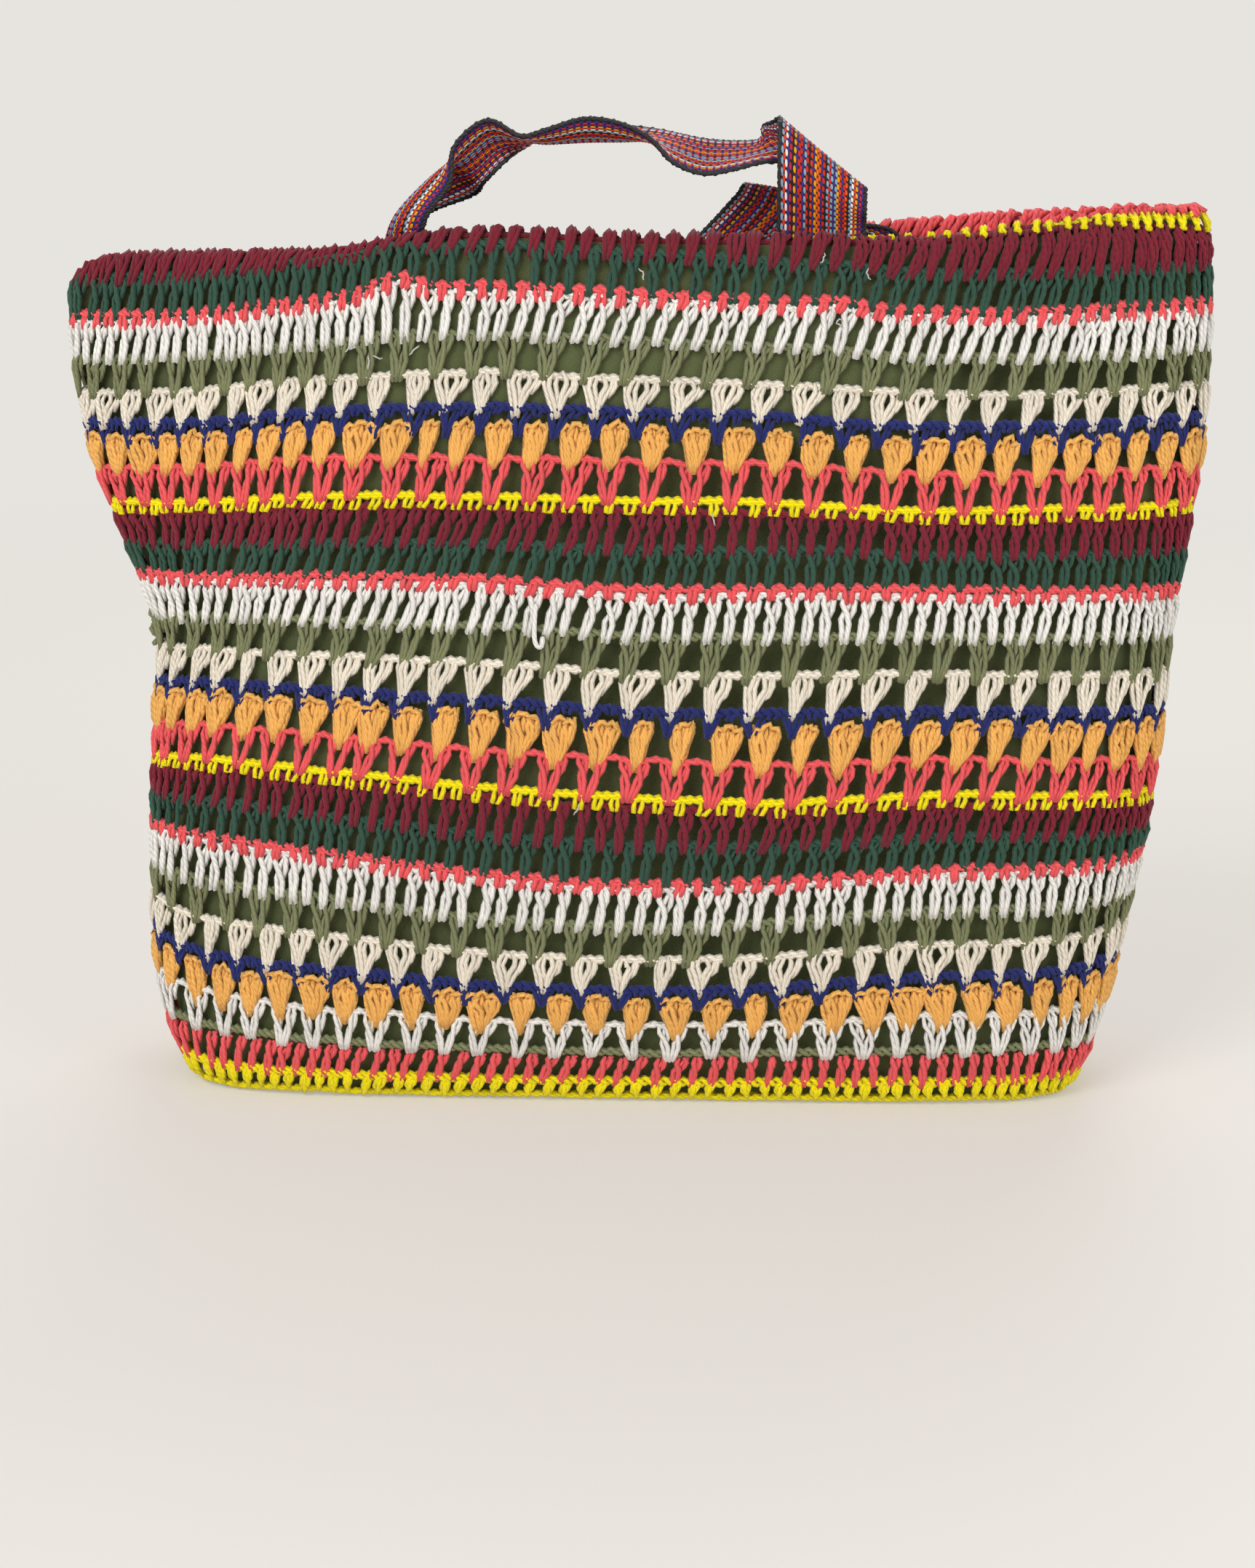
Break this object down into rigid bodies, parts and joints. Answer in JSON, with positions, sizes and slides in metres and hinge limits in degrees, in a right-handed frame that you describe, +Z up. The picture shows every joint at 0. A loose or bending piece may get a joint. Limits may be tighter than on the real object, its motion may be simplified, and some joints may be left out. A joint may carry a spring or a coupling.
{
  "type": "crochet tote bag",
  "caption": "Soft open-topped tote: striped crochet cover on a canvas inner bag, with webbing strap handles sewn inside the rim.",
  "frame": {"origin": "centre of the whole bag's box, on the surface it stands on", "axes": "+Z up, -Y the front that the picture shows, +X to the right of that front"},
  "size_m": [0.4976, 0.1416, 0.4207],
  "materials": {
    "yarn_yellow": "matte plied cotton yarn",
    "yarn_coral": "matte plied cotton yarn",
    "yarn_olive": "matte plied cotton yarn",
    "yarn_white": "matte plied cotton yarn",
    "yarn_orange": "matte plied cotton yarn",
    "yarn_navy": "matte plied cotton yarn",
    "yarn_cream": "matte plied cotton yarn",
    "yarn_green": "matte plied cotton yarn",
    "yarn_maroon": "matte plied cotton yarn",
    "canvas": "matte woven cotton canvas",
    "webbing": "matte multicolour woven webbing"
  },
  "bodies": {
    "root": {"crochet_base": "yarn_yellow", "canvas_bag": "canvas", "row_01_yellow_foot": "yarn_yellow", "row_02_coral": "yarn_coral", "row_03_olive_chain": "yarn_olive", "row_04_white_vee": "yarn_white", "row_05_orange": "yarn_orange", "row_06_navy": "yarn_navy", "row_07_cream": "yarn_cream", "row_08_olive": "yarn_olive", "row_09_white": "yarn_white", "row_10_coral_short": "yarn_coral", "row_11_green": "yarn_green", "row_12_maroon": "yarn_maroon", "row_13_yellow": "yarn_yellow", "row_14_coral_vee": "yarn_coral", "row_15_orange": "yarn_orange", "row_16_navy": "yarn_navy", "row_17_cream": "yarn_cream", "row_18_olive": "yarn_olive", "row_19_white": "yarn_white", "row_20_coral_short": "yarn_coral", "row_21_green": "yarn_green", "row_22_maroon": "yarn_maroon", "row_23_yellow": "yarn_yellow", "row_24_coral_vee": "yarn_coral", "row_25_orange": "yarn_orange", "row_26_navy": "yarn_navy", "row_27_cream": "yarn_cream", "row_28_olive": "yarn_olive", "row_29_white": "yarn_white", "row_30_coral_short": "yarn_coral", "row_31_green": "yarn_green", "row_32_maroon_rim": "yarn_maroon", "row_33_yellow_rim": "yarn_yellow", "row_34_coral_facing": "yarn_coral", "handle_front": "webbing", "handle_back": "webbing"}
  },
  "joints": []
}
